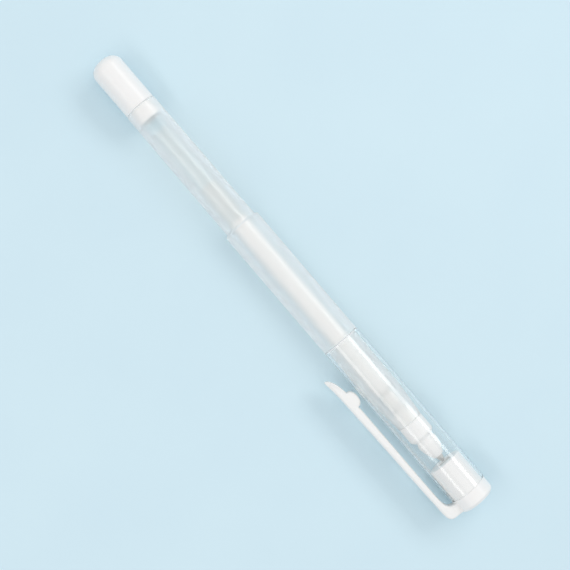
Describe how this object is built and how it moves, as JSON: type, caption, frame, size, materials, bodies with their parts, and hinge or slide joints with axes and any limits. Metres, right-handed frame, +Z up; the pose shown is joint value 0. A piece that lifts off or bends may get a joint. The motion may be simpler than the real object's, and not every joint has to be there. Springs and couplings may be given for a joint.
{
  "type": "fabric marking pen",
  "caption": "Capped gel-type fabric marking pen with a frosted barrel, white ink refill, rolling ball tip, tail plug, clear cap and white pocket clip.",
  "frame": {"origin": "centre of the cap's flat end face, on the pen's axis", "axes": "+X along the pen's axis, pointing out of the cap's end face; the tail is towards -X. The clip stands off towards -Y. +Z is up when the pen lies with its clip to one side."},
  "size_m": [0.144, 0.0152, 0.0104],
  "materials": {
    "frosted_barrel": "frosted translucent moulding, natural milky clear",
    "clear_plastic": "polished clear moulding",
    "white_plastic": "semi-gloss moulded white",
    "refill_plastic": "natural translucent extruded tube",
    "white_ink": "opaque white ink",
    "follower_gel": "clear grease, faint yellow cast",
    "tip_metal": "fine turned, bright",
    "ball_metal": "polished hard metal",
    "spring_wire": "drawn wire",
    "seal_rubber": "soft matt elastomer"
  },
  "bodies": {
    "pen_body": {"barrel": "frosted_barrel", "nose_cone": "white_plastic", "refill_tube": "refill_plastic", "ink_follower": "follower_gel", "ink_column": "white_ink", "tip_holder": "white_plastic", "tip_housing": "tip_metal"},
    "rear_stopper": {"tail_plug": "white_plastic"},
    "cap": {"cap_tube": "clear_plastic", "cap_end_plug": "white_plastic", "tip_seal_pad": "seal_rubber"},
    "clip": {"clip_arm": "white_plastic"},
    "ball_carriage": {"ball_spring": "spring_wire"},
    "ball": {"writing_ball": "ball_metal"}
  },
  "joints": [
    {"name": "cap_slide", "type": "slide", "parent": "pen_body", "child": "cap", "axis": [1, 0, 0], "range_m": [0, 0.055]},
    {"name": "clip_flex", "type": "hinge", "parent": "cap", "child": "clip", "pos_m": [-0.00205, -0.00577, 0], "axis": [0, 0, 1], "range_deg": [0, 4]},
    {"name": "tail_plug_pull", "type": "slide", "parent": "pen_body", "child": "rear_stopper", "axis": [-1, 0, 0], "range_m": [0, 0.008]},
    {"name": "ball_press", "type": "slide", "parent": "pen_body", "child": "ball_carriage", "axis": [-1, 0, 0], "range_m": [0, 0.00005], "deforming": ["ball_spring"]},
    {"name": "ball_roll", "type": "hinge", "parent": "ball_carriage", "child": "ball", "pos_m": [-0.01358, 0, 0], "axis": [0, 1, 0], "continuous": true}
  ]
}
